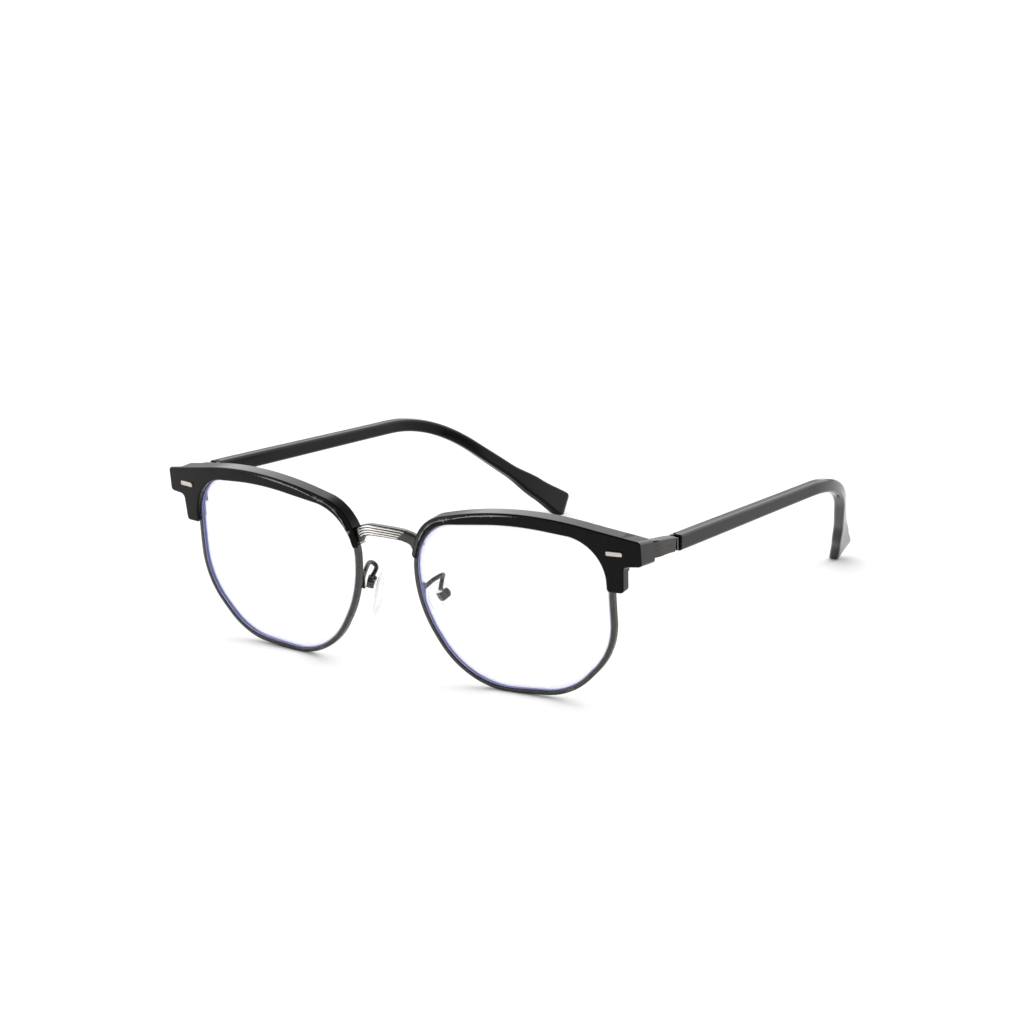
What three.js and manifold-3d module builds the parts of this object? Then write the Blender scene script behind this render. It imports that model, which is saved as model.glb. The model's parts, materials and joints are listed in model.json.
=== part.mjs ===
// Browline eyeglasses with metal rims, acetate brow bars and acetate temples.
// Millimetres, Z up. X runs across the face (left lens at +X), Y runs back along the temples.
// The glasses stand open on the bottoms of both rims and on both temple tips, at Z = 0.
import * as THREE from 'three';
import { mergeVertices } from 'three/addons/utils/BufferGeometryUtils.js';
import Module from 'manifold-3d';

const wasm = await Module();
wasm.setup();

// ---------- driving dimensions ----------
const degree = Math.PI / 180;
const gap = 0.15;                 // between pieces that are soldered or screwed together
const lensCentre = new THREE.Vector3(36.16, 1.1, 22.2);
const faceTilt = 4.7 * degree;    // the bottom of the front stands further back
const faceWrap = 5.2 * degree;    // the outer side of each lens stands further back
const baseCurve = 145;            // radius of the lens surface

const rimWidth = 1.15;
const rimDepth = 1.6;
const grooveDepth = 0.6;
const lensFront = 0.15;           // lens face behind the rim's front face
const lensThickness = 1.3;
const lockHeight = 11;            // level of the split in the rim
const lockReach = 3.3;

const browCurve = 400;            // radius of the brow's front face, flatter than the lens
const browCrown = 3;              // where the brow's front face stands furthest forward
const browFront = 0.8;
const browDepth = 4.0;
const browEdge = 0.5;
const blockRear = 9.2;

const hingePin = new THREE.Vector3(69.75, 21.8, 38.55);
const leafThickness = 0.6;
const knuckleRadius = 0.65;
const pinRadius = 0.35;
const knuckleHeight = 0.7;
const middleKnuckle = 1;
const washerThickness = 0.15;

const templeFront = new THREE.Vector3(70.9, 21.5, 38.6);
const templeBend = new THREE.Vector3(65.8, 107.6, 33.1);
const templeTip = new THREE.Vector3(45, 142.7, 1.35);
const bendReach = 17;             // the bend starts and ends this far from its corner
const tipTwist = 31 * degree;     // the drop behind the ear leans inwards, and its faces with it
const coreRadius = 0.65;

const padCentre = new THREE.Vector3(10.6, 11.1, 16.4);
const padAxis = new THREE.Vector3(0.41, 0.3, -0.86).normalize();
const padFacing = new THREE.Vector3(-0.86, 0.47, -0.2);
const padLength = 13.4;
const padWidth = 7.2;
const padThickness = 2.2;
const armRadius = 0.57;

// ---------- materials ----------
const acetate = new THREE.MeshStandardMaterial({ color: 0x151517, roughness: 0.18, metalness: 0 });
const gunmetal = new THREE.MeshStandardMaterial({ color: 0x5b5957, roughness: 0.3, metalness: 1 });
const steel = new THREE.MeshStandardMaterial({ color: 0x9a9895, roughness: 0.25, metalness: 1 });
const champagne = new THREE.MeshStandardMaterial({ color: 0xb9b0a2, roughness: 0.28, metalness: 1 });
const nylon = new THREE.MeshStandardMaterial({ color: 0xe4e2dc, roughness: 0.5, metalness: 0 });
const silicone = new THREE.MeshStandardMaterial({ color: 0xf1f3f5, roughness: 0.2, metalness: 0 });
const clearLens = new THREE.MeshStandardMaterial({ color: 0xf4f7ff, roughness: 0.03, metalness: 0 });
silicone.transparent = true;
silicone.opacity = 0.45;
clearLens.transparent = true;
clearLens.opacity = 0.2;

// ---------- geometry helpers ----------
function vector(x, y, z) {
  return new THREE.Vector3(x, y, z);
}

function volumeOf(geometry) {
  const points = geometry.attributes.position;
  const index = geometry.index;
  const corner = [vector(0, 0, 0), vector(0, 0, 0), vector(0, 0, 0)];
  let total = 0;
  for (let i = 0; i < index.count; i += 3) {
    corner.forEach((target, k) => target.fromBufferAttribute(points, index.getX(i + k)));
    total += corner[0].dot(corner[1].clone().cross(corner[2])) / 6;
  }
  return total;
}

function flipped(geometry) {
  const index = geometry.index;
  for (let i = 0; i < index.count; i += 3) {
    const first = index.getX(i);
    index.setX(i, index.getX(i + 2));
    index.setX(i + 2, first);
  }
  return geometry;
}

// Leaves only the merged corner points, with every face looking outward.
function welded(geometry) {
  const source = geometry.clone();
  for (const name of Object.keys(source.attributes)) {
    if (name !== 'position') source.deleteAttribute(name);
  }
  const merged = mergeVertices(source, 1e-4);
  return volumeOf(merged) < 0 ? flipped(merged) : merged;
}

function solid(geometry) {
  const merged = welded(geometry);
  const vertProperties = new Float32Array(merged.attributes.position.array);
  const triVerts = new Uint32Array(merged.index.array);
  return new wasm.Manifold(new wasm.Mesh({ numProp: 3, vertProperties, triVerts }));
}

function geometryOf(body) {
  const mesh = body.getMesh();
  const geometry = new THREE.BufferGeometry();
  geometry.setAttribute('position', new THREE.BufferAttribute(mesh.vertProperties, 3));
  geometry.setIndex(new THREE.BufferAttribute(mesh.triVerts, 1));
  return geometry;
}

function cut(geometry, ...tools) {
  return geometryOf(tools.reduce((body, tool) => body.subtract(solid(tool)), solid(geometry)));
}

function join(geometry, ...others) {
  return geometryOf(others.reduce((body, other) => body.add(solid(other)), solid(geometry)));
}

function common(geometry, other) {
  return geometryOf(solid(geometry).intersect(solid(other)));
}

// Rings of points with equal counts become one closed skin, capped unless the rings form a loop.
function loft(rings, loop = false) {
  const count = rings[0].length;
  const points = rings.flat();
  const faces = [];
  const spans = loop ? rings.length : rings.length - 1;
  for (let i = 0; i < spans; i += 1) {
    const here = i * count;
    const there = ((i + 1) % rings.length) * count;
    for (let j = 0; j < count; j += 1) {
      const next = (j + 1) % count;
      faces.push(here + j, here + next, there + next);
      faces.push(here + j, there + next, there + j);
    }
  }
  if (!loop) {
    const last = (rings.length - 1) * count;
    for (let j = 1; j < count - 1; j += 1) {
      faces.push(0, j + 1, j);
      faces.push(last, last + j, last + j + 1);
    }
  }
  const geometry = new THREE.BufferGeometry().setFromPoints(points);
  geometry.setIndex(faces);
  return welded(geometry);
}

// A rounded rectangle of the given size about its centre, as [across, up] pairs.
function roundedSection(width, height, radius, steps = 2) {
  const section = [];
  const centres = [[1, 1], [-1, 1], [-1, -1], [1, -1]];
  centres.forEach(([right, up], quarter) => {
    for (let i = 0; i <= steps; i += 1) {
      const angle = (quarter + i / steps) * 90 * degree;
      const across = right * (width / 2 - radius) + radius * Math.cos(angle);
      const high = up * (height / 2 - radius) + radius * Math.sin(angle);
      section.push([across, high]);
    }
  });
  return section;
}

// Sweeps a section along a curve. sizeAt(t) gives [width, height, corner radius].
function sweep(curve, steps, sizeAt, twistAt = () => 0) {
  const rings = [];
  for (let i = 0; i <= steps; i += 1) {
    const t = i / steps;
    const centre = curve.getPointAt(t);
    const along = curve.getTangentAt(t);
    const across = vector(0, 0, 1).cross(along).normalize().applyAxisAngle(along, twistAt(t));
    const up = along.clone().cross(across);
    const ring = roundedSection(...sizeAt(t)).map(([a, b]) => centre.clone()
      .addScaledVector(across, a)
      .addScaledVector(up, b));
    rings.push(ring);
  }
  return loft(rings);
}

// A round wire along a curve. An arc's segments count double, so the section has 2 × halfSides.
function wire(curve, radius, steps, halfSides = 4) {
  const section = new THREE.Shape();
  section.absarc(0, 0, radius, 0, Math.PI * 2);
  return new THREE.ExtrudeGeometry(section, { steps, curveSegments: halfSides, extrudePath: curve });
}

function block(size, centre) {
  return new THREE.BoxGeometry(...size).translate(...centre);
}

// An upright cylinder from one height to another.
function post(radius, x, y, bottom, top, sides = 20) {
  const cylinder = new THREE.CylinderGeometry(radius, radius, top - bottom, sides);
  return cylinder.rotateX(Math.PI / 2).translate(x, y, (bottom + top) / 2);
}

// Points between two values of a keyed list such as [[0, 1], [0.5, 3], [1, 2]], eased smoothly.
function keyed(keys, t) {
  const next = Math.max(1, keys.findIndex(([at]) => at >= t));
  const [from, first] = keys[next - 1];
  const [to, second] = keys[next];
  const share = THREE.MathUtils.smoothstep(t, from, to);
  return first + (second - first) * share;
}

// ---------- outlines in the plane of the lens: x outward, z up ----------
// Corners are [x, z, fillet radius]. Each gives the points of its fillet, moved outward by offset.
function roundedOutline(corners, offset = 0, stepAngle = 7.5 * degree) {
  const outline = [];
  corners.forEach(([x, z, radius], i) => {
    const before = corners[(i + corners.length - 1) % corners.length];
    const after = corners[(i + 1) % corners.length];
    const inward = new THREE.Vector2(x - before[0], z - before[1]).normalize();
    const outward = new THREE.Vector2(after[0] - x, after[1] - z).normalize();
    const turn = Math.atan2(inward.cross(outward), inward.dot(outward));
    const side = Math.sign(turn);
    const reach = radius * Math.tan(Math.abs(turn) / 2);
    const normal = new THREE.Vector2(inward.y, -inward.x);
    const centre = new THREE.Vector2(x, z)
      .addScaledVector(inward, -reach)
      .addScaledVector(normal, -side * radius);
    const steps = Math.max(1, Math.ceil(Math.abs(turn) / stepAngle));
    for (let k = 0; k <= steps; k += 1) {
      const away = normal.clone().rotateAround(new THREE.Vector2(), (turn * k) / steps);
      outline.push({
        point: centre.clone().addScaledVector(away, side * radius + offset),
        normal: away,
      });
    }
  });
  return outline;
}

const lensCorners = [
  [26.45, 19.4, 11], [2.5, 21.6, 80], [-26.55, 17.9, 13], [-26.55, -2.6, 30],
  [-14.1, -22.2, 21], [14.1, -20.4, 18], [26.45, -8, 18],
];

const browCorners = [
  [35.9, 20.5, 1.1], [2.7, 26.15, 90], [-24.8, 19.4, 12], [-28.3, 8.8, 1.1], [-24, 8.6, 0.3],
  [24, 7.2, 0.3], [30.75, 7.2, 0.9], [31.15, 13.9, 1.2], [35.9, 14.3, 0.9],
];

function sag(x, z) {
  return (x * x + z * z) / (2 * baseCurve);
}

function browFace(x) {
  return browFront + (x - browCrown) ** 2 / (2 * browCurve);
}

// A closed ring around the lens, of a section given as [outward, back] pairs.
function lensRing(section) {
  const rings = roundedOutline(lensCorners).map(({ point, normal }) => section.map(([out, back]) => {
    const x = point.x + normal.x * out;
    const z = point.y + normal.y * out;
    return vector(x, back + sag(x, z), z);
  }));
  return loft(rings, true);
}

// A straight plate with an outline in x and z, from front to rear in y.
function plate(outline, front, rear, bevel = 0) {
  const shape = new THREE.Shape(outline.map(({ point }) => point));
  const geometry = new THREE.ExtrudeGeometry(shape, {
    depth: rear - front - 2 * bevel,
    bevelEnabled: bevel > 0,
    bevelThickness: bevel,
    bevelSize: bevel,
    bevelOffset: -bevel,
    bevelSegments: 1,
  });
  return geometry.rotateX(Math.PI / 2).translate(0, rear - bevel, 0);
}

function moveEach(geometry, move) {
  const points = geometry.attributes.position;
  const point = vector(0, 0, 0);
  for (let i = 0; i < points.count; i += 1) {
    point.fromBufferAttribute(points, i);
    move(point);
    points.setXYZ(i, point.x, point.y, point.z);
  }
  return geometry;
}

// From the lens plane to the standing front, for the left side.
const lensFrame = new THREE.Matrix4()
  .makeTranslation(lensCentre.x, lensCentre.y, lensCentre.z)
  .multiply(new THREE.Matrix4().makeRotationZ(faceWrap))
  .multiply(new THREE.Matrix4().makeRotationX(faceTilt));

function fromLens(x, y, z) {
  return vector(x, y, z).applyMatrix4(lensFrame);
}

function toLens(geometry) {
  return geometry.applyMatrix4(lensFrame.clone().invert());
}

// ---------- pieces in the lens frame ----------
const middle = rimDepth / 2;
const floorBlock = () => block([300, 300, 10], [0, 0, -5]);

function rim() {
  const edge = 0.2;
  const ring = lensRing([
    [0, edge], [edge, 0], [rimWidth - edge, 0], [rimWidth, edge],
    [rimWidth, rimDepth - edge], [rimWidth - edge, rimDepth], [edge, rimDepth], [0, rimDepth - edge],
    [0, middle + 0.5], [grooveDepth, middle + 0.15], [grooveDepth, middle - 0.15], [0, middle - 0.5],
  ]);
  const split = block([4, 8, 0.3], [27, 4.5, lockHeight]);
  return cut(ring, split, toLens(floorBlock()));
}

function lens() {
  const steps = 7;
  const reach = 37;
  const profile = [];
  for (let i = 0; i <= steps; i += 1) {
    const radius = (reach * i) / steps;
    profile.push(new THREE.Vector2(radius, lensFront + sag(radius, 0)));
  }
  for (let i = steps; i >= 0; i -= 1) {
    const radius = (reach * i) / steps;
    profile.push(new THREE.Vector2(radius, lensFront + lensThickness + sag(radius, 0)));
  }
  const blank = new THREE.LatheGeometry(profile, 36);
  const cutter = plate(roundedOutline(lensCorners, -0.25), -2, 14);
  const ridge = lensRing([
    [-0.6, middle - 0.32], [-0.25, middle - 0.32], [0.35, middle - 0.04],
    [0.35, middle + 0.04], [-0.25, middle + 0.32], [-0.6, middle + 0.32],
  ]);
  return join(common(blank, cutter), ridge);
}

const lock = { inner: 27.75, outer: 30, front: 3.2, rear: 5.75, screwX: 28.9, screwY: 4.25 };

function lockHalf(bottom, top) {
  const size = [lock.outer - lock.inner, lock.rear - lock.front, top - bottom];
  const centre = [(lock.inner + lock.outer) / 2, (lock.front + lock.rear) / 2, (bottom + top) / 2];
  return cut(block(size, centre), post(0.65, lock.screwX, lock.screwY, bottom - 1, top + 1));
}

function lockUpper() {
  return lockHalf(lockHeight + gap, lockHeight + lockReach + 0.3);
}

function lockLower() {
  return lockHalf(lockHeight - lockReach, lockHeight - gap);
}

function lockScrew() {
  const head = lockHeight - lockReach - gap;
  const shank = post(0.55, lock.screwX, lock.screwY, head - 0.2, lockHeight + lockReach);
  const cap = post(0.9, lock.screwX, lock.screwY, head - 0.45, head);
  const slot = block([2, 0.25, 0.4], [lock.screwX, lock.screwY, head - 0.45]);
  return cut(join(shank, cap), slot);
}

// The thick outer end of the brow, tapering to the rear.
function browBlock() {
  const ends = [[4.2, 31.4, 35.9, 14.35, 20.2], [blockRear, 31.6, 35.9, 13.1, 18.8]];
  return loft(ends.map(([y, inner, outer, low, high]) => roundedSection(outer - inner, high - low, 0.7)
    .map(([a, b]) => vector((inner + outer) / 2 + a, y, (low + high) / 2 + b))));
}

function brow() {
  const aperture = plate(roundedOutline(lensCorners), -1, browDepth + 1);
  const face = cut(plate(roundedOutline(browCorners), 0, browDepth, browEdge), aperture);
  const bar = moveEach(face, (point) => { point.y += browFace(point.x); });
  const clear = 0.2;
  const rimSeat = lensRing([
    [-2, -clear], [rimWidth + clear, -clear], [rimWidth + clear, 9], [-2, 9],
  ]);
  const lockSeat = block([2.9, 6, 9.8], [28.8, lock.front - clear + 3, 10.1]);
  const thinTail = block([7, 4, 9], [28.5, 6.6, 9.1]);
  const slot = toLens(endBar(0.35));
  const bridgeSeat = toLens(bridgeBar(0.3));
  const pinHoles = pinPlaces.map((x) => rodThrough(0.55, x, plaqueLevel, 0, 8));
  const screwHole = rodThrough(0.45, tab.x, tab.screw, 3, 8);
  const body = join(bar, browBlock());
  return cut(body, rimSeat, lockSeat, thinTail, slot, bridgeSeat, ...pinHoles, screwHole);
}

// A cylinder running from front to rear.
function rodThrough(radius, x, z, front, rear, sides = 16) {
  const rod = new THREE.CylinderGeometry(radius, radius, rear - front, sides);
  return rod.translate(x, (front + rear) / 2, z);
}

const plaqueLevel = 17.25;
const pinPlaces = [28.1, 30.2];

function browPlaque() {
  const outline = roundedOutline([
    [31.3, 17.85, 0.3], [27, 17.85, 0.3], [27, 16.65, 0.3], [31.3, 16.65, 0.3],
  ], 0, 30 * degree);
  const face = moveEach(plate(outline, -0.5, -0.1, 0.1), (point) => { point.y += browFace(point.x); });
  const pins = pinPlaces.map((x) => rodThrough(0.4, x, plaqueLevel, browFace(x) - 0.2, 5.5));
  return join(face, ...pins);
}

// A small lug on the back of the rim, where a screw holds the brow.
const tab = { x: 18, bottom: 20.2, top: 22.55, step: 20.95, screw: 22.15, thickness: 0.6 };
tab.front = sag(tab.x, tab.step) + rimDepth + 1.5;
tab.rear = tab.front + tab.thickness;

function browTab() {
  const front = sag(tab.x, tab.step) + rimDepth + 0.25;
  const footSize = [2.4, tab.rear - front, tab.step - tab.bottom];
  const foot = block(footSize, [tab.x, (front + tab.rear) / 2, (tab.step + tab.bottom) / 2]);
  const faceSize = [2.4, tab.thickness, tab.top - tab.bottom];
  const face = block(faceSize, [tab.x, (tab.front + tab.rear) / 2, (tab.top + tab.bottom) / 2]);
  return cut(join(foot, face), rodThrough(0.48, tab.x, tab.screw, 4, 8));
}

function browScrew() {
  const shank = rodThrough(0.38, tab.x, tab.screw, 3.2, tab.rear + 0.2);
  const cap = rodThrough(0.55, tab.x, tab.screw, tab.rear + 0.1, tab.rear + 0.5);
  const slot = block([2, 0.3, 0.25], [tab.x, tab.rear + 0.5, tab.screw]);
  return cut(join(shank, cap), slot);
}

// ---------- pieces in the standing frame ----------
function bridgeBar(extra = 0) {
  const foot = vector(9.3 + extra, 2.1, 33.6 - 2 * extra);
  const half = [foot, vector(8, 2, 35.3), vector(5.4, 1.5, 36.3), vector(2.6, 1.1, 36.6)];
  const mirrored = half.map((point) => vector(-point.x, point.y, point.z));
  const curve = new THREE.CatmullRomCurve3([...mirrored, ...half.reverse()]);
  return sweep(curve, 16, (t) => {
    const flare = Math.abs(2 * t - 1) ** 4;
    return [2.2 + extra * 2, 2.5 + 0.4 * flare + extra * 2, 0.6];
  });
}

function bridge() {
  const seat = lensRing([[-3, -4], [rimWidth + gap, -4], [rimWidth + gap, 9], [-3, 9]]);
  seat.applyMatrix4(lensFrame);
  return cut(bridgeBar(), seat, mirror(seat));
}

function endBar(extra = 0) {
  const curve = new THREE.CatmullRomCurve3([
    fromLens(26.8, 6.6, 16.7), fromLens(29, 6.6, 16.7), fromLens(31.2, 6.8, 16.7),
    vector(69.1, 10.8, 39.35), vector(70.2, 13.6, 39.2), vector(70.55, 17.5, 38.95),
    vector(70.85, 20.05, 38.7),
  ]);
  const widths = [[0, 1.2], [0.3, 1.3], [0.48, 1.9], [0.62, 2.9], [1, 2.9]];
  return sweep(curve, 16, (t) => {
    const height = 3 + 0.4 * t;
    return [keyed(widths, t) + extra * 2, height + extra * 2, 0.4];
  });
}

function endPiece() {
  const top = 16.2;
  const bottom = lockHeight + gap;
  const lug = block([2.2, 1.1, top - bottom], [28.9, 6.45, (top + bottom) / 2]).applyMatrix4(lensFrame);
  return join(endBar(), lug);
}

const play = 0.05;
const middleBottom = hingePin.z - middleKnuckle / 2;
const middleTop = hingePin.z + middleKnuckle / 2;
const hingeBottom = middleBottom - washerThickness - knuckleHeight - 2 * play;
const hingeTop = middleTop + washerThickness + knuckleHeight + 2 * play;

// A hinge leaf: a plate across the end of its arm, with fingers reaching to knuckles on the pin.
function leaf(plateSize, plateCentre, knuckles) {
  const reach = Math.abs(plateCentre[1] - hingePin.y);
  const fingers = knuckles.flatMap(([bottom, top]) => [
    block([0.9, reach, top - bottom],
      [hingePin.x, (plateCentre[1] + hingePin.y) / 2, (bottom + top) / 2]),
    post(knuckleRadius, hingePin.x, hingePin.y, bottom, top),
  ]);
  const bore = post(pinRadius + 0.08, hingePin.x, hingePin.y, hingeBottom - 1, hingeTop + 1);
  return cut(join(block(plateSize, plateCentre), ...fingers), bore);
}

function frontLeaf() {
  const lower = [hingeBottom, hingeBottom + knuckleHeight];
  const upper = [hingeTop - knuckleHeight, hingeTop];
  return leaf([2.6, leafThickness, 3.1], [70.85, 20.65, 38.6], [lower, upper]);
}

function rearLeaf() {
  return leaf([2.1, leafThickness, 2.3], [70.9, 23.05, 38.6], [[middleBottom, middleTop]]);
}

function hingeScrew() {
  const shank = post(pinRadius, hingePin.x, hingePin.y, hingeBottom, hingeTop + 0.1);
  const head = post(0.6, hingePin.x, hingePin.y, hingeTop + play, hingeTop + 0.35);
  const slot = block([1.4, 0.2, 0.3], [hingePin.x, hingePin.y, hingeTop + 0.4]);
  return cut(join(shank, head), slot);
}

function washer(bottom) {
  const ring = post(knuckleRadius - 0.05, hingePin.x, hingePin.y, bottom, bottom + washerThickness);
  return cut(ring, post(pinRadius + 0.08, hingePin.x, hingePin.y, bottom - 1, bottom + 1));
}

function templeCurve() {
  const forward = templeFront.clone().sub(templeBend).setLength(bendReach);
  const onward = templeTip.clone().sub(templeBend).setLength(bendReach);
  const bendStart = templeBend.clone().add(forward);
  const bendEnd = templeBend.clone().add(onward);
  const path = new THREE.CurvePath();
  path.add(new THREE.LineCurve3(templeFront, bendStart));
  path.add(new THREE.QuadraticBezierCurve3(bendStart, templeBend, bendEnd));
  path.add(new THREE.LineCurve3(bendEnd, templeTip));
  return path;
}

// The middle line of the temple between two shares of its length, as one smooth curve.
function templeCore(from, to) {
  const path = templeCurve();
  const points = [];
  const steps = 14;
  for (let i = 0; i <= steps; i += 1) points.push(path.getPointAt(from + ((to - from) * i) / steps));
  return new THREE.CatmullRomCurve3(points);
}

function temple() {
  const widths = [[0, 3.3], [0.6, 3.1], [1, 2.7]];
  const heights = [[0, 4], [0.5, 3.5], [0.74, 3.35], [0.84, 3.6], [0.92, 5.9], [1, 8.1]];
  const twists = [[0, 0], [0.6, 0], [1, tipTwist]];
  const sizeAt = (t) => [keyed(widths, t), keyed(heights, t), 0.9];
  const body = sweep(templeCurve(), 42, sizeAt, (t) => keyed(twists, t));
  const mouth = templeFront.clone().sub(templeBend).setLength(2).add(templeFront);
  const pocket = block([2.4, 1.2, 2.6], [70.9, 23, 38.6]);
  const relief = block([1.85, 1.25, 8], [69.725, 21.925, hingePin.z]);
  const notch = block([1.4, 1, 1.3], [hingePin.x, 22.8, hingePin.z]);
  const core = templeCore(0.002, 0.83);
  core.points.unshift(mouth);
  return cut(body, wire(core, coreRadius + 0.2, 34), pocket, relief, notch, floorBlock());
}

function coreWire() {
  return wire(templeCore(0.02, 0.82), coreRadius, 34);
}

const padFrame = (() => {
  const facing = padFacing.clone().addScaledVector(padAxis, -padFacing.dot(padAxis)).normalize();
  const width = facing.clone().cross(padAxis);
  const frame = new THREE.Matrix4().makeBasis(padAxis, width, facing);
  return frame.setPosition(padCentre);
})();

// The box that holds the pad stands above the pad's middle, on its outer side.
const padMount = vector(-3.65, 0, -2.45);

function fromPad(geometry) {
  return geometry.applyMatrix4(padFrame);
}

function nosePad() {
  const pad = new THREE.SphereGeometry(1, 24, 14).scale(padLength / 2, padWidth / 2, padThickness / 2);
  const pocket = block([6.4, 2.6, 2], [padMount.x + 1.6, 0, -1.15]);
  return fromPad(cut(pad, pocket));
}

function padInsert() {
  const base = block([5.8, 2, 0.5], [padMount.x + 1.6, 0, -0.55]);
  const stem = block([1.1, 0.8, 2.3], [padMount.x, 0, -1.65]);
  const hole = new THREE.CylinderGeometry(0.33, 0.33, 4, 12).translate(padMount.x, 0, padMount.z + 0.2);
  return fromPad(cut(join(base, stem), hole));
}

function padBox() {
  const shell = block([2.2, 2.6, 1.9], [padMount.x, 0, padMount.z]);
  const slot = block([4, 1.1, 1.6], [padMount.x, 0, padMount.z + 0.35]);
  const hole = new THREE.CylinderGeometry(0.33, 0.33, 4, 12).translate(padMount.x, 0, padMount.z + 0.2);
  return fromPad(cut(shell, slot, hole));
}

function padScrew() {
  const level = padMount.z + 0.2;
  const shank = new THREE.CylinderGeometry(0.27, 0.27, 3, 12).translate(padMount.x, 0, level);
  const head = new THREE.CylinderGeometry(1, 1, 0.4, 20).translate(padMount.x, -1.56, level);
  return fromPad(join(shank, head));
}

function padArm() {
  const end = vector(padMount.x - 1.6, 0, padMount.z - 0.1).applyMatrix4(padFrame);
  const curve = new THREE.CatmullRomCurve3([
    vector(9.3, 3.4, 23), vector(10.3, 6, 24.5), vector(11.1, 8.3, 25.2), vector(10.8, 9.5, 24.9),
    vector(10.15, 9.9, 23.9), vector(10.25, 9.4, 22.8), end,
  ]);
  const foot = block([1, 0.55, 4.4], [9.3, 3.4, 22.3]);
  return join(foot, wire(curve, armRadius, 24));
}

// ---------- assembly ----------
function mirror(geometry) {
  return flipped(welded(geometry).scale(-1, 1, 1));
}

const frontPieces = [
  ['end_piece', endPiece, gunmetal],
  ['pad_arm', padArm, gunmetal],
  ['pad_box', padBox, gunmetal],
  ['pad_screw', padScrew, gunmetal],
  ['hinge_front_leaf', frontLeaf, gunmetal],
  ['hinge_screw', hingeScrew, gunmetal],
  ['hinge_washer_lower', () => washer(middleBottom - play - washerThickness), nylon],
  ['hinge_washer_upper', () => washer(middleTop + play), nylon],
];

const lensPieces = [
  ['lens', lens, clearLens],
  ['rim', rim, gunmetal],
  ['rim_lock_upper', lockUpper, gunmetal],
  ['rim_lock_lower', lockLower, gunmetal],
  ['rim_lock_screw', lockScrew, steel],
  ['brow', brow, acetate],
  ['brow_plaque', browPlaque, champagne],
  ['brow_tab', browTab, gunmetal],
  ['brow_screw', browScrew, steel],
];

const templePieces = [
  ['temple', temple, acetate],
  ['temple_core_wire', coreWire, steel],
  ['hinge_rear_leaf', rearLeaf, gunmetal],
];

const padPieces = [
  ['nose_pad', nosePad, silicone],
  ['pad_insert', padInsert, silicone],
];

function bodyGroup(name, side, pieces) {
  const group = new THREE.Group();
  group.name = `${name}_group`;
  for (const [piece, make, material] of pieces) {
    const shape = welded(make());
    const geometry = side > 0 ? shape : mirror(shape);
    const mesh = new THREE.Mesh(geometry, material);
    mesh.name = `${name}_${piece}`;
    group.add(mesh);
  }
  return group;
}

const glasses = new THREE.Group();
for (const [name, side] of [['left', 1], ['right', -1]]) {
  const lensGroup = bodyGroup(name, side, lensPieces);
  lensGroup.position.set(side * lensCentre.x, lensCentre.y, lensCentre.z);
  lensGroup.rotation.set(faceTilt, 0, side * faceWrap, 'ZYX');
  glasses.add(lensGroup);
  glasses.add(bodyGroup(name, side, frontPieces));
  glasses.add(bodyGroup(name, side, templePieces));
  glasses.add(bodyGroup(name, side, padPieces));
}
const bridgeMesh = new THREE.Mesh(welded(bridge()), gunmetal);
bridgeMesh.name = 'bridge';
glasses.add(bridgeMesh);

// The origin is the middle of the glasses' box, on the table.
const extent = new THREE.Box3().setFromObject(glasses, true);
glasses.position.y = -(extent.min.y + extent.max.y) / 2;

export default glasses;
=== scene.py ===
"""Looks for the browline eyeglasses: black acetate brows and temples over gunmetal rims.

Lengths in this script are in millimetres until place() turns them into the frame's metres.
Every piece but the bridge is designed for the wearer's left side (+X) and mirrored for the right.
"""
import json
import math

import bmesh
import bpy
from mathutils import Matrix, Vector
from mathutils.geometry import delaunay_2d_cdt


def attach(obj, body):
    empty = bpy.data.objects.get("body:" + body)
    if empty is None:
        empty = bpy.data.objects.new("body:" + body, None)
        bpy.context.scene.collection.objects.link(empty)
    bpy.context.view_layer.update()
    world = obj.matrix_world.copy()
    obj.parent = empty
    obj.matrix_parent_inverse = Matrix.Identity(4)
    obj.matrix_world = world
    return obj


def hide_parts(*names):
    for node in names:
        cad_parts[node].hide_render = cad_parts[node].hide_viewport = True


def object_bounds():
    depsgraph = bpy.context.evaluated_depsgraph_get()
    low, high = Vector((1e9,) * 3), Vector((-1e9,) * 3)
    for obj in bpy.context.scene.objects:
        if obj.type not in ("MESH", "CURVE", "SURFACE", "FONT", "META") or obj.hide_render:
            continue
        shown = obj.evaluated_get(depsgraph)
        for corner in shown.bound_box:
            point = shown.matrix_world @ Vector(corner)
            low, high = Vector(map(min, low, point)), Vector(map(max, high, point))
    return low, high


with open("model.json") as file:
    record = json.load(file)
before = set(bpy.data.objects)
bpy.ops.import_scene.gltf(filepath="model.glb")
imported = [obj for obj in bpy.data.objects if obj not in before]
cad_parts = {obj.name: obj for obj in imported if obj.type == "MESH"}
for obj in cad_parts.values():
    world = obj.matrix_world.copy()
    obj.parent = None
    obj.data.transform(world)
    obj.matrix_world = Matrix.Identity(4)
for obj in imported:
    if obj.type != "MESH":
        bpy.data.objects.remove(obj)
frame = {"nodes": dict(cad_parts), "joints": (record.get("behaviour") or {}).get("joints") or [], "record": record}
cad_low, cad_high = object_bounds()

# ---------- driving dimensions ----------
MM = 0.001
LENS_CENTRE = Vector((36.16, 1.1, 22.2))
FACE_TILT = math.radians(4.7)
FACE_WRAP = math.radians(5.2)
BASE_CURVE = 145.0

RIM_WIDTH = 1.15
RIM_DEPTH = 1.6
RIM_EDGE = 0.28
GROOVE_DEPTH = 0.6
LOCK_LEVEL = 11.0
LOCK_GAP = 0.3
LENS_FRONT = 0.15
LENS_THICKNESS = 1.3
SEAT_CLEARANCE = 0.2

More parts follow.
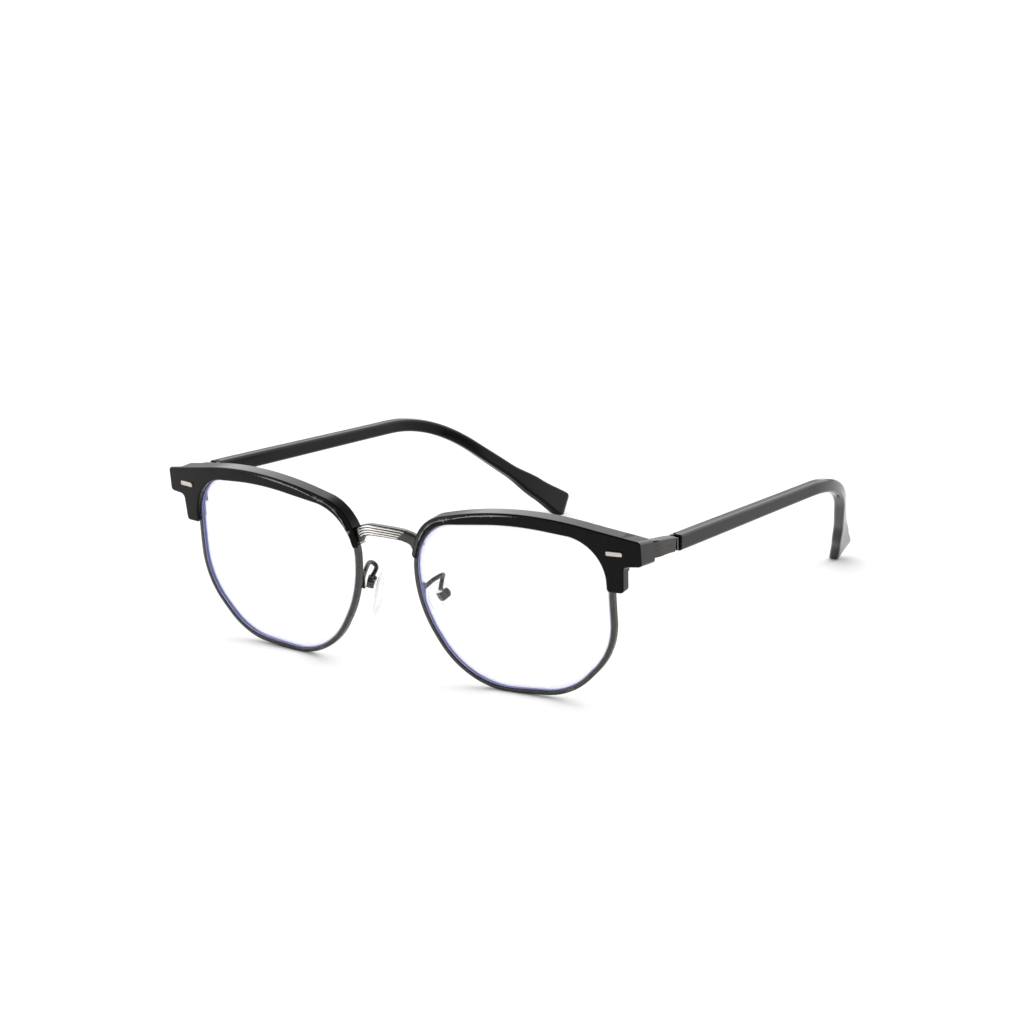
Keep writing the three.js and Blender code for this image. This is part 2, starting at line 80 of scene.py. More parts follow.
BROW_CURVE = 400.0
BROW_CROWN = 3.0
BROW_FRONT = 0.8
BROW_DEPTH = 4.0
BROW_ROUND = 0.38
FACET_SLOPE = 0.55
CREASE_HIGHLIGHT_REACH = 0.12
TAIL_DEPTH = 3.0
TAIL_TOP = 13.7
BLOCK_REAR = 9.2
BLOCK_TAPER = 31.2
BLOCK_INNER = 31.35
BLOCK_FOOT = 13.9
SLOT_OUTER = 35.1
SLOT_FOOT = 16.3
SLOT_TOP = 19.8
SLOT_FRONT = 5.4
LOCK_SEAT_INNER = 27.4
LOCK_SEAT_OUTER = 30.25
LOCK_SEAT_TOP = 14.95
SEAT_FRONT = 3.0
THINNEST_LIP = 0.35
THINNEST_SEAT = 0.3
BRIDGE_SEAT_OUTER = -26.9
BRIDGE_SEAT_FOOT = 9.8
BRIDGE_SEAT_TOP = 14.2
STEP_RUN = 0.04      # half the run of a step in the brow's rear
PLAQUE_CENTRE = Vector((29.15, 17.25))
PLAQUE_SIZE = (4.15, 1.15)

HINGE = Vector((69.75, 21.8, 38.55))      # the left hinge pin in the design's own coordinates
FRONT_LEAF_SIZE = (2.6, 0.6, 3.1)
FRONT_LEAF_CENTRE = (70.85, 20.65, 38.6)
REAR_LEAF_SIZE = (2.1, 0.6, 2.3)
REAR_LEAF_CENTRE = (70.9, 23.05, 38.6)
KNUCKLE_BORE = 0.43
KNUCKLE_RADIUS = 0.65

TEMPLE_FRONT = Vector((70.9, 21.5, 38.6))
TEMPLE_BEND = Vector((65.8, 107.6, 33.1))
TEMPLE_TIP = Vector((45.0, 142.7, 1.35))
BEND_REACH = 17.0
TIP_TWIST = math.radians(31)

PAD_CENTRE = Vector((10.6, 11.1, 16.4))
PAD_AXIS = Vector((0.41, 0.3, -0.86)).normalized()
PAD_FACING = Vector((-0.86, 0.47, -0.2))
PAD_MOUNT = Vector((-3.65, 0.0, -2.45))
PAD_LENGTH = 6.7
PAD_WIDTH = 3.6
PAD_THICKNESS = 1.1
PAD_WIRE_RADIUS = 0.57

# Corners of flat outlines in the lens plane: x outward, z up, then the fillet radius.
LENS_CORNERS = [
    (26.45, 19.4, 11), (2.5, 21.6, 80), (-26.55, 17.9, 13), (-26.55, -2.6, 30),
    (-14.1, -22.2, 21), (14.1, -20.4, 18), (26.45, -8, 18),
]
BROW_CORNERS = [
    (35.9, 20.5, 1.1), (2.7, 26.15, 90), (-24.8, 19.4, 12), (-28.3, 8.8, 1.0),
    (-26.34, 8.8, 0.55), (-24.63, 18.13, 12.2), (2.5, 21.5, 80), (26.35, 19.3, 10.9),
    (26.35, 7.2, 0.9), (30.75, 7.2, 0.9), (31.15, 13.9, 1.2), (35.9, 14.3, 0.9),
]

joint_at = {joint["name"]: Vector(joint["pos_m"]) / MM for joint in frame["joints"]}
OFFSET = joint_at["left_temple_hinge"] - HINGE


# ---------- placing ----------
def place(point, side):
    """A design point of the left side, in the frame's metres, mirrored when side is -1."""
    shifted = (point + OFFSET) * MM
    return Vector((side * shifted.x, shifted.y, shifted.z))


LENS_FRAME = (Matrix.Translation(LENS_CENTRE) @ Matrix.Rotation(FACE_WRAP, 4, "Z")
              @ Matrix.Rotation(FACE_TILT, 4, "X"))


def pad_frame():
    """The left pad's own axes: along the pad, across it, and out of its nose side."""
    facing = (PAD_FACING - PAD_AXIS * PAD_FACING.dot(PAD_AXIS)).normalized()
    width = facing.cross(PAD_AXIS)
    turn = Matrix((PAD_AXIS, width, facing)).transposed()
    return Matrix.Translation(PAD_CENTRE) @ turn.to_4x4()


def from_lens(x, y, z):
    """A design point from the lens's own axes: outward, back from the lens plane, up."""
    return LENS_FRAME @ Vector((x, y, z))


# ---------- curves ----------
def lerp_keys(keys, t):
    """The value at t of a list of (t, value) keys, eased between keys."""
    for (low, first), (high, second) in zip(keys, keys[1:]):
        if t <= high:
            share = min(1.0, max(0.0, (t - low) / (high - low)))
            share = share * share * (3 - 2 * share)
            return first + (second - first) * share
    return keys[-1][1]


def smooth_path(points, samples=16):
    """A Catmull-Rom curve through the points, as a dense list of points."""
    padded = [points[0] * 2 - points[1], *points, points[-1] * 2 - points[-2]]
    path = []
    for a, b, c, d in zip(padded, padded[1:], padded[2:], padded[3:]):
        for i in range(samples):
            t = i / samples
            path.append(0.5 * (2 * b + (c - a) * t + (2 * a - 5 * b + 4 * c - d) * t * t
                               + (3 * b - a - 3 * c + d) * t ** 3))
    path.append(points[-1].copy())
    return path


class Route:
    """Points along a path, addressed by their share of its length."""

    def __init__(self, points):
        self.points = points
        self.reach = [0.0]
        for a, b in zip(points, points[1:]):
            self.reach.append(self.reach[-1] + (b - a).length)

    def at(self, t):
        """The point at share t of the length."""
        wanted = t * self.reach[-1]
        for i in range(1, len(self.points)):
            if wanted <= self.reach[i] or i == len(self.points) - 1:
                span = self.reach[i] - self.reach[i - 1]
                share = (wanted - self.reach[i - 1]) / span
                return self.points[i - 1].lerp(self.points[i], share)

    def along(self, t):
        """The direction of travel at share t."""
        step = 0.004
        return (self.at(min(1, t + step)) - self.at(max(0, t - step))).normalized()


def outline(corners, offset, spacing):
    """(point, outward normal) pairs round a closed outline with rounded corners, moved outward."""
    fine = math.radians(6)
    arcs = []
    for i, (x, z, radius) in enumerate(corners):
        corner = Vector((x, z))
        before = Vector(corners[i - 1][:2])
        after = Vector(corners[(i + 1) % len(corners)][:2])
        arriving = (corner - before).normalized()
        leaving = (after - corner).normalized()
        turn = math.atan2(arriving.x * leaving.y - arriving.y * leaving.x, arriving.dot(leaving))
        bulge = math.copysign(1, turn)
        normal = Vector((arriving.y, -arriving.x))
        centre = corner - arriving * radius * math.tan(abs(turn) / 2) - normal * bulge * radius
        arcs.append((centre, radius, turn, bulge, normal))
    pairs = []
    for i, (centre, radius, turn, bulge, normal) in enumerate(arcs):
        steps = max(2, math.ceil(max(abs(turn) / fine, abs(turn) * radius / spacing)))
        for k in range(steps + 1):
            away = normal.copy()
            away.rotate(Matrix.Rotation(turn * k / steps, 2))
            pairs.append((centre + away * (bulge * radius + offset), away))
        end, away = pairs[-1]
        following = arcs[(i + 1) % len(arcs)]
        start = following[0] + following[4] * (following[3] * following[1] + offset)
        base_end = end - away * offset
        base_start = start - following[4] * offset
        count = int((base_start - base_end).length / spacing)
        for k in range(1, count):
            pairs.append((end.lerp(start, k / count), away))
    return pairs


def sag(x, z):
    """How far the lens's curve falls back from its middle."""
    return (x * x + z * z) / (2 * BASE_CURVE)


# ---------- meshes ----------
class Shell:
    """Points and faces of one piece on the left side, in design millimetres."""

    def __init__(self):
        self.points = []
        self.faces = []
        self.marks = {}

    def add(self, points, faces):
        start = len(self.points)
        self.points += [Vector(point) for point in points]
        self.faces += [[start + index for index in face] for face in faces]
        return self

    def join(self, other):
        return self.add(other.points, other.faces)

    def loft(self, rings, loop=False, caps=True):
        """Joins rings of equal counts into one skin."""
        count = len(rings[0])
        faces = []
        spans = len(rings) if loop else len(rings) - 1
        for i in range(spans):
            here = i * count
            there = (i + 1) % len(rings) * count
            for j in range(count):
                k = (j + 1) % count
                faces.append([here + j, here + k, there + k, there + j])
        if caps and not loop:
            faces.append(list(range(count))[::-1])
            faces.append([(len(rings) - 1) * count + j for j in range(count)])
        return self.add([point for ring in rings for point in ring], faces)

    def moved(self, matrix):
        self.points = [matrix @ point for point in self.points]
        return self


def piece(name, shell, side, body, slot, node, sharp=35):
    """Makes the shell into an object that rides on a body and stands for a CAD node.

    Edges that turn by more than sharp degrees stay sharp.
    """
    mesh = bpy.data.meshes.new(name)
    mesh.from_pydata([place(point, side) for point in shell.points], [], shell.faces)
    mesh.materials.append(SLOT_MATERIALS[slot])
    for mark, values in shell.marks.items():
        mesh.attributes.new(mark, "FLOAT", "POINT").data.foreach_set("value", values)
    merge_distance = 2e-6
    work = bmesh.new()
    work.from_mesh(mesh)
    bmesh.ops.remove_doubles(work, verts=work.verts, dist=merge_distance)
    bmesh.ops.recalc_face_normals(work, faces=work.faces)
    work.to_mesh(mesh)
    work.free()
    mesh.shade_smooth()
    mesh.set_sharp_from_angle(angle=math.radians(sharp))
    thing = bpy.data.objects.new(name, mesh)
    bpy.context.scene.collection.objects.link(thing)
    thing.modifiers.new("flat_faces_stay_flat", "WEIGHTED_NORMAL").keep_sharp = True
    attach(thing, body)
    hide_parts(node)


def rounded_section(width, height, radius, steps=4):
    """A rounded rectangle about its centre, as (across, up) pairs."""
    section = []
    for quarter, (right, up) in enumerate([(1, 1), (-1, 1), (-1, -1), (1, -1)]):
        for i in range(steps + 1):
            angle = (quarter + i / steps) * math.pi / 2
            section.append((right * (width / 2 - radius) + radius * math.cos(angle),
                            up * (height / 2 - radius) + radius * math.sin(angle)))
    return section


def sweep(route, stations, section_at, twist_at=lambda t: 0.0):
    """Rings of a section carried along a route, level across and upright but for the twist."""
    rings = []
    for t in stations:
        centre = route.at(t)
        along = route.along(t)
        across = Vector((0, 0, 1)).cross(along).normalized()
        across.rotate(Matrix.Rotation(twist_at(t), 3, along))
        up = along.cross(across)
        rings.append([centre + across * a + up * b for a, b in section_at(t)])
    return rings


def even(count, start=0.0, end=1.0):
    """Evenly spaced values, both ends included."""
    return [start + (end - start) * i / count for i in range(count + 1)]


def round_wire(route, radius, steps):
    """Rings of a round wire with slightly domed ends, free of twist."""
    sides = 16
    rings = []
    reference = Vector((0.3, 0.1, 1)).normalized()
    for t in even(steps):
        along = route.along(t)
        across = (reference - along * reference.dot(along)).normalized()
        reference = across
        up = along.cross(across)
        ring = []
        for j in range(sides):
            angle = 2 * math.pi * j / sides
            ring.append(route.at(t) + (across * math.cos(angle) + up * math.sin(angle)) * radius)
        rings.append(ring)

    def domed(ring, outward):
        centre = sum(ring, Vector()) / sides
        return [centre.lerp(point, 0.7) + outward * radius * 0.3 for point in ring]

    return [domed(rings[0], -route.along(0)), *rings, domed(rings[-1], route.along(1))]


def turned(profile, matrix, sides=32):
    """Rings of a turned piece: profile holds (radius, height) pairs from one end to the other."""
    rings = []
    for radius, height in profile:
        rings.append([matrix @ Vector((radius * math.cos(2 * math.pi * j / sides),
                                       radius * math.sin(2 * math.pi * j / sides), height))
                      for j in range(sides)])
    return rings


def slab(size, centre, edge=0.15):
    """Rings of a box with rounded edges all round."""
    width, depth, height = size
    steps = 3
    rings = []
    for sign in (-1, 1):
        angles = even(steps, 0, math.pi / 2)
        for angle in (angles if sign < 0 else angles[::-1]):
            shrink = edge * (1 - math.sin(angle))
            level = sign * (height / 2 - edge + edge * math.cos(angle))
            corner = max(0.02, edge - shrink * 0.5)
            rings.append([Vector((a, b, level)) + Vector(centre) for a, b in
                          rounded_section(width - 2 * shrink, depth - 2 * shrink, corner, steps)])
    return rings


# ---------- materials ----------
class Shader:
    """A material under construction: a Principled shader and helpers to add procedural detail."""

    def __init__(self, name):
        self.material = bpy.data.materials.new(name)
        self.material.use_nodes = True
        self.nodes = self.material.node_tree.nodes
        self.links = self.material.node_tree.links
        self.main = self.nodes["Principled BSDF"]
        self.place = self.nodes.new("ShaderNodeTexCoord").outputs["Object"]

    def put(self, socket, value):
        self.main.inputs[socket].default_value = value
        return self

    def join(self, output, socket):
        self.links.new(output, self.main.inputs[socket])
        return self

    def noise(self, scale, detail, stretch=(1, 1, 1)):
        mapping = self.nodes.new("ShaderNodeMapping")
        mapping.inputs["Scale"].default_value = stretch
        self.links.new(self.place, mapping.inputs["Vector"])
        noise = self.nodes.new("ShaderNodeTexNoise")
        noise.inputs["Scale"].default_value = scale
        noise.inputs["Detail"].default_value = detail
        self.links.new(mapping.outputs["Vector"], noise.inputs["Vector"])
        return noise.outputs["Fac"]

    def ramp(self, source, low, high, start=0.3, end=0.7):
        ramp = self.nodes.new("ShaderNodeValToRGB")
        ramp.color_ramp.elements[0].position = start
        ramp.color_ramp.elements[0].color = (*low, 1)
        ramp.color_ramp.elements[1].position = end
        ramp.color_ramp.elements[1].color = (*high, 1)
        self.links.new(source, ramp.inputs["Fac"])
        return ramp.outputs["Color"]

    def span(self, source, low, high):
        """Maps a 0-1 source to low-high."""
        span = self.nodes.new("ShaderNodeMapRange")
        span.inputs["To Min"].default_value = low
        span.inputs["To Max"].default_value = high
        self.links.new(source, span.inputs["Value"])
        return span.outputs["Result"]

    def mix(self, factor, first, second):
        mix = self.nodes.new("ShaderNodeMix")
        mix.data_type = "RGBA"
        self.links.new(factor, mix.inputs[0])
        self.links.new(first, mix.inputs[6])
        self.links.new(second, mix.inputs[7])
        return mix.outputs[2]

    def bump(self, height, strength, distance):
        bump = self.nodes.new("ShaderNodeBump")
        bump.inputs["Strength"].default_value = strength
        bump.inputs["Distance"].default_value = distance
        self.links.new(height, bump.inputs["Height"])
        return self.join(bump.outputs["Normal"], "Normal")

    def attribute(self, name):
        """A value from 0 to 1 stored with the mesh's points; 0 where a mesh has none."""
        attribute = self.nodes.new("ShaderNodeAttribute")
        attribute.attribute_name = name
        return attribute.outputs["Fac"]

    def edges(self, low, high):
        """A ramp over pointiness, from 0 in hollows to 1 along convex edges; it masks painted shade and lighter
        edges.
        """
        geometry = self.nodes.new("ShaderNodeNewGeometry")
        return self.ramp(geometry.outputs["Pointiness"], (0, 0, 0), (1, 1, 1), low, high)


def acetate_material():
    """Polished black cellulose acetate: a faint cloud, buffing marks, convex edges a little lighter (partly edge
    wear, partly painted highlight) and a painted highlight line where the facet meets the front.
    """
    shader = Shader("acetate")
    cloud = shader.noise(140, 4)
    body = shader.ramp(cloud, (0.0024, 0.0024, 0.0026), (0.0042, 0.0042, 0.0044))
    # Lighter along convex edges: partly edge wear, partly a painted highlight.
    lighter_edges = shader.ramp(shader.noise(900, 3), (0.005, 0.005, 0.005), (0.012, 0.012, 0.012))
    # Painted highlight: a light grey laid on the line where the facet meets the front, weighted by the mark read
    # on the next line.
    crease_highlight = shader.attribute("crease_highlight")
    polished = shader.ramp(shader.noise(1200, 2), (0.3, 0.3, 0.3), (0.45, 0.45, 0.45))
    edged = shader.mix(shader.edges(0.52, 0.6), body, lighter_edges)
    shader.join(shader.mix(crease_highlight, edged, polished), "Base Color")
    buffing = shader.noise(700, 5, (1, 0.15, 1))
    shader.join(shader.span(buffing, 0.05, 0.2), "Roughness")
    shader.bump(shader.noise(220, 2), 0.03, 0.00005)
    shader.put("IOR", 1.4).put("Specular IOR Level", 0.5).put("Specular Tint", (0.25, 0.25, 0.25, 1))
    return shader.material


def plated_material(name, dark, light, rough=(0.2, 0.34), streak=(1, 0.08, 1)):
    """Plated metal: fine polishing streaks, lighter convex edges, painted shade in hollows and between ribs,
    painted highlights along the tops of ribs.
    """
    shader = Shader(name)
    streaks = shader.noise(1400, 3, streak)
    body = shader.ramp(streaks, dark, light, 0.2, 0.8)
    # Lighter along convex edges.
    lighter_edges = shader.ramp(shader.noise(900, 2), [c * 1.3 for c in light], [c * 1.6 for c in light])
    # Painted shade: a darker colour laid in hollows and in the grooves between the bridge's ribs.
    painted_shade = shader.ramp(shader.noise(900, 2), [c * 0.25 for c in dark], [c * 0.4 for c in dark])
    # Painted highlight: a bright colour laid along the tops of the bridge's ribs.
    bright = shader.ramp(shader.noise(900, 2), [c * 9 for c in light], [c * 10.5 for c in light])
    with_hollow_shade = shader.mix(shader.edges(0.42, 0.49), painted_shade, body)
    edged = shader.mix(shader.edges(0.53, 0.65), with_hollow_shade, lighter_edges)
    ribbed = shader.mix(shader.attribute("crest"), edged, bright)
    shader.join(shader.mix(shader.attribute("valley_shade"), ribbed, painted_shade), "Base Color")
    shader.join(shader.span(shader.noise(900, 3), *rough), "Roughness")
    shader.bump(shader.noise(3200, 2, streak), 0.04, 0.00001)
    shader.put("Metallic", 1.0).put("Anisotropic", 0.25)
    return shader.material


def silicone_material():
    """Clear silicone, a little cloudy, with tiny dimples, and a painted grey shade round its outline at glancing
    angles.
    """
    shader = Shader("silicone")
    facing = shader.nodes.new("ShaderNodeLayerWeight")
    facing.inputs["Blend"].default_value = 0.35
    middle = shader.ramp(shader.noise(300, 3), (0.9, 0.92, 0.95), (0.95, 0.97, 1.0))
    # Painted shade: a grey laid where the pad's surface turns away from view, round its outline, with more opacity
    # there.
    painted_outline_shade = shader.ramp(shader.noise(300, 3), (0.5, 0.52, 0.54), (0.6, 0.62, 0.64))
    shader.join(shader.mix(facing.outputs["Facing"], middle, painted_outline_shade), "Base Color")
    shader.join(shader.span(facing.outputs["Facing"], 0.04, 0.7), "Alpha")
    shader.join(shader.span(shader.noise(800, 2), 0.08, 0.2), "Roughness")
    shader.bump(shader.noise(1500, 2), 0.06, 0.00002)
    shader.put("IOR", 1.41)
    return shader.material


def lens_material():
    """Clear lens, with a painted blue-violet reflection where the edge mark is set round its cut edge."""
    shader = Shader("clear_lens")
    # The painted reflection: blue-violet and more opaque where the edge mark is set.
    edge = shader.attribute("painted_edge_reflection")
    smear = shader.noise(60, 3, (1, 1, 0.4))
    clear = shader.ramp(smear, (0.9, 0.93, 0.97), (0.95, 0.97, 1.0))
    violet = shader.ramp(smear, (0.34, 0.36, 0.74), (0.42, 0.44, 0.84))
    shader.join(shader.mix(edge, clear, violet), "Base Color")
    shader.join(shader.span(edge, 0.03, 0.62), "Alpha")
    shader.join(shader.span(smear, 0.01, 0.03), "Roughness")
    shader.put("IOR", 1.5).put("Thin Film Thickness", 380.0).put("Thin Film IOR", 1.38)
    return shader.material


def nylon_material():
    """Natural nylon washers."""
    shader = Shader("nylon")
    shader.join(shader.ramp(shader.noise(1500, 3), (0.7, 0.69, 0.64), (0.82, 0.81, 0.77)), "Base Color")
    shader.join(shader.span(shader.noise(1100, 2), 0.4, 0.55), "Roughness")
    shader.bump(shader.noise(2600, 2), 0.15, 0.00003)
    return shader.material


SLOT_MATERIALS = {
    "acetate": acetate_material(),
    "gunmetal": plated_material("gunmetal", (0.062, 0.06, 0.057), (0.088, 0.085, 0.08)),
    "steel": plated_material("steel", (0.42, 0.41, 0.4), (0.58, 0.57, 0.56), rough=(0.22, 0.38)),
    "champagne": plated_material("champagne", (0.5, 0.46, 0.41), (0.62, 0.58, 0.52),
                                 rough=(0.24, 0.36), streak=(0.1, 1, 1)),
    "silicone": silicone_material(),
    "clear_lens": lens_material(),
    "nylon": nylon_material(),
}


# ---------- rim and lens ----------
def rim_shell():
    """The eyewire: a grooved metal section round the lens, split at the lock."""
    edge = RIM_EDGE
    mouth, floor = 0.5, 0.15      # half the groove's width where it opens and at its floor

    def corner(right, up, quarter):
        angles = [math.pi / 2 * (quarter + i / 4) for i in range(5)]
        return [(right + edge * math.cos(angle), up + edge * math.sin(angle)) for angle in angles]

    middle = RIM_DEPTH / 2
    section = corner(RIM_WIDTH - edge, RIM_DEPTH - edge, 0) + corner(edge, RIM_DEPTH - edge, 1)
    section += [(0, middle + mouth), (GROOVE_DEPTH, middle + floor)]
    section += [(GROOVE_DEPTH, middle - floor), (0, middle - mouth)]
    section += corner(edge, edge, 2) + corner(RIM_WIDTH - edge, edge, 3)
    rings = []
    for point, normal in split_outline():
        ring = []
        for out, back in section:
            flat = point + normal * out
            ring.append(from_lens(flat.x, back + sag(flat.x, flat.y), flat.y))
        rings.append(ring)
    return Shell().loft(rings)


def split_outline():
    """The lens outline, starting just above the lock and ending just below it."""
    pairs = outline(LENS_CORNERS, 0, 0.9)
    half = LOCK_GAP / 2
    lock_side = 20
    on_split = [i for i, (p, _) in enumerate(pairs) if p.x > lock_side and p.y > LOCK_LEVEL + half]
    first = min(on_split, key=lambda i: pairs[i][0].y)
    ordered = pairs[first:] + pairs[:first]
    top = outline_at_height(ordered[0], ordered[-1], LOCK_LEVEL + half)
    bottom = outline_at_height(ordered[0], ordered[-1], LOCK_LEVEL - half)
    kept = [(p, n) for p, n in ordered if p.x <= lock_side or abs(p.y - LOCK_LEVEL) >= 0.2]
    return [top, *kept, bottom]


def outline_at_height(first, last, level):
    """The point and normal where the stretch from last to first crosses a height."""
    share = (level - last[0].y) / (first[0].y - last[0].y)
    return last[0].lerp(first[0], share), last[1].lerp(first[1], share).normalized()


def lens_shell():
    """A meniscus cut to the outline, with a bevelled edge that sits in the rim's groove."""
    inset, ridge_reach, spacing = 0.2, 0.3, 0.7
    border = [p for p, _ in outline(LENS_CORNERS, -inset, spacing)]
    ridge = [p for p, _ in outline(LENS_CORNERS, ridge_reach, spacing)]
    shares = [0.03, 0.2, 0.4, 0.6, 0.75, 0.87, 0.92, 0.94, 0.96, 0.98, 0.99]
    # How strongly the painted edge reflection shows on the back face, rising towards the edge.
    fade = [(0, 0.0), (0.92, 0.0), (0.98, 0.35), (1, 0.6)]
    front = LENS_FRONT
    middle = LENS_FRONT + LENS_THICKNESS / 2
    back = LENS_FRONT + LENS_THICKNESS
    layers = [(border, share, front, 0.0) for share in shares]
    layers += [(border, 0.998, front, 0.1)]
    layers += [(border, 1, depth, 1.0) for depth in (front + 0.08, middle - 0.3)]
    layers += [(ridge, 1, middle, 1.0)]
    layers += [(border, 1, depth, 1.0) for depth in (middle + 0.3, back - 0.08)]
    layers += [(border, 0.998, back, 0.6)]
    layers += [(border, share, back, lerp_keys(fade, share)) for share in reversed(shares)]
    rings, edge_reflection_marks = [], []
    for line, share, depth, edge_reflection in layers:
        ring = []
        for x, z in line:
            flat = Vector((x, z)) * share
            ring.append(from_lens(flat.x, depth + sag(flat.x, flat.y), flat.y))
            edge_reflection_marks.append(edge_reflection)
        rings.append(ring)
    shell = Shell().loft(rings)
    shell.marks = {"painted_edge_reflection": edge_reflection_marks}
    return shell


# ---------- brow ----------
def brow_face(x):
    """The brow's front, a shallow curve that is foremost at the crown."""
    return BROW_FRONT + (x - BROW_CROWN) ** 2 / (2 * BROW_CURVE)


def chamfer_width(x):
    """The polished facet between the front and the top, widest at the nose."""
    return lerp_keys([(-27, 1.5), (-19, 0.95), (-8, 0.7), (5, 0.6), (12, 0.4), (36, 0.35)], x)


def nearest(flat, line):
    """The distance from a flat point to the nearest of a line's points."""
    return min((flat - p).length for p in line)


def both_sides(*steps):
    """The near and far side of each step in the brow's rear."""
    return [step + shift for step in steps for shift in (-STEP_RUN, STEP_RUN)]


class Brow:
    """The brow bar: a front and a rear height over one flat outline."""

    def __init__(self):
        self.lens_line = [p for p, _ in outline(LENS_CORNERS, 0, 0.5)]
        top = [(p, n) for p, n in outline(BROW_CORNERS, 0, 0.2) if n.y > 0.05 or n.x < -0.8]
        self.crest = [p for p, _ in top if nearest(p, self.lens_line) > 0.5]

    def front(self, flat):
        """The front: the shallow curve, falling back over the polished facet below the top."""
        within = chamfer_width(flat.x) - nearest(flat, self.crest)
        return brow_face(flat.x) + max(0.0, within) * FACET_SLOPE

    def crease_highlight(self, flat):
        """The painted highlight line's strength: 1 on the line where the polished facet meets the front, fading
        out away from the nose.
        """
        off = abs(nearest(flat, self.crest) - chamfer_width(flat.x))
        return lerp_keys([(-27, 1), (-3, 1), (5, 0)], flat.x) * max(0.0, 1 - off / CREASE_HIGHLIGHT_REACH)

    def rear(self, flat):
        """The rear: the block and its slot, then the seats for rim, lock and bridge, then the bar."""
        x, z = flat
        if x > BLOCK_INNER and z > BLOCK_FOOT:
            in_slot = x < SLOT_OUTER and SLOT_FOOT < z < SLOT_TOP
            return SLOT_FRONT if in_slot else BLOCK_REAR
        if nearest(flat, self.lens_line) < RIM_WIDTH + SEAT_CLEARANCE:
            return max(sag(x, z) - SEAT_CLEARANCE, self.front(flat) + THINNEST_LIP)
        if LOCK_SEAT_INNER < x < LOCK_SEAT_OUTER and z < LOCK_SEAT_TOP:
            return SEAT_FRONT
        if x < BRIDGE_SEAT_OUTER and BRIDGE_SEAT_FOOT < z < BRIDGE_SEAT_TOP:
            return max(SEAT_FRONT, self.front(flat) + THINNEST_SEAT)
        return brow_face(x) + (TAIL_DEPTH if z < TAIL_TOP and x > 0 else BROW_DEPTH)

    def taper(self, x, y, z):
        """The outer block drops a little towards its rear, its top slightly more than its foot."""
        start = brow_face(x) + 0.8
        foot, height = 14.3, 6.2
        foot_drop, extra_drop = 1.2, 0.5
        if x > BLOCK_TAPER and y > start:
            share = min(1.0, (y - start) / (BLOCK_REAR - start))
            return z - share * (foot_drop + extra_drop * (z - foot) / height)
        return z

    def features(self):
        """Rows of points that carry the steps and facet lines."""
        rows = []
        spacing, crease_side = 0.3, 0.13
        for distance in both_sides(RIM_WIDTH + SEAT_CLEARANCE):
            rows += [p for p, _ in outline(LENS_CORNERS, distance, 0.45)]
        for point, normal in outline(BROW_CORNERS, 0, spacing):
            if nearest(point, self.crest) < 0.05:
                foot = point
                for _ in range(4):
                    foot = point - normal * chamfer_width(foot.x)
                # The middle row lies on the facet line, where the painted highlight is strongest.
                rows += [foot - normal * shift for shift in (-crease_side, 0, crease_side)]
        for x in both_sides(BLOCK_INNER, SLOT_OUTER):
            rows += [Vector((x, 14 + spacing * k)) for k in range(24)]
        for z in both_sides(SLOT_FOOT, SLOT_TOP):
            rows += [Vector((31.3 + spacing * k, z)) for k in range(14)]
        for x in [LOCK_SEAT_INNER, *both_sides(LOCK_SEAT_OUTER)]:
            rows += [Vector((x, 7.5 + spacing * k)) for k in range(25)]
        for z in both_sides(TAIL_TOP, LOCK_SEAT_TOP):
            rows += [Vector((LOCK_SEAT_INNER + spacing * k, z)) for k in range(14)]
        return rows

    def flat_mesh(self):
        """Triangles over the inset outline, with the outline's points first."""
        border = [p for p, _ in outline(BROW_CORNERS, -BROW_ROUND, 0.4)]
        fence = [p for p, _ in outline(BROW_CORNERS, -BROW_ROUND - 0.18, 0.4)]
        rows = [p for p in self.features() if inside(p, fence)]
        step = 0.6
        filler = [Vector((i * step - 29, j * step + 7.5 + (i % 2) * step / 2))
                  for i in range(110) for j in range(30)]
        filler = [p for p in filler if inside(p, fence) and nearest(p, rows) > step / 2]
        edges = [(i, (i + 1) % len(border)) for i in range(len(border))]
        flats, _, triangles, *_ = delaunay_2d_cdt(border + rows + filler, edges, [], 0, 1e-4, True)
        kept = []
        for face in triangles:
            middle = sum((flats[i] for i in face), Vector((0, 0))) / len(face)
            if inside(middle, border):
                kept.append(face)
        return flats, kept


def inside(point, polygon):
    """Whether a flat point lies inside a closed polygon."""
    crossings = False
    x, z = point
    previous = polygon[-1]
    for current in polygon:
        if (current.y > z) != (previous.y > z):
            reach = (previous.x - current.x) * (z - current.y) / (previous.y - current.y) + current.x
            if x < reach:
                crossings = not crossings
        previous = current
    return crossings


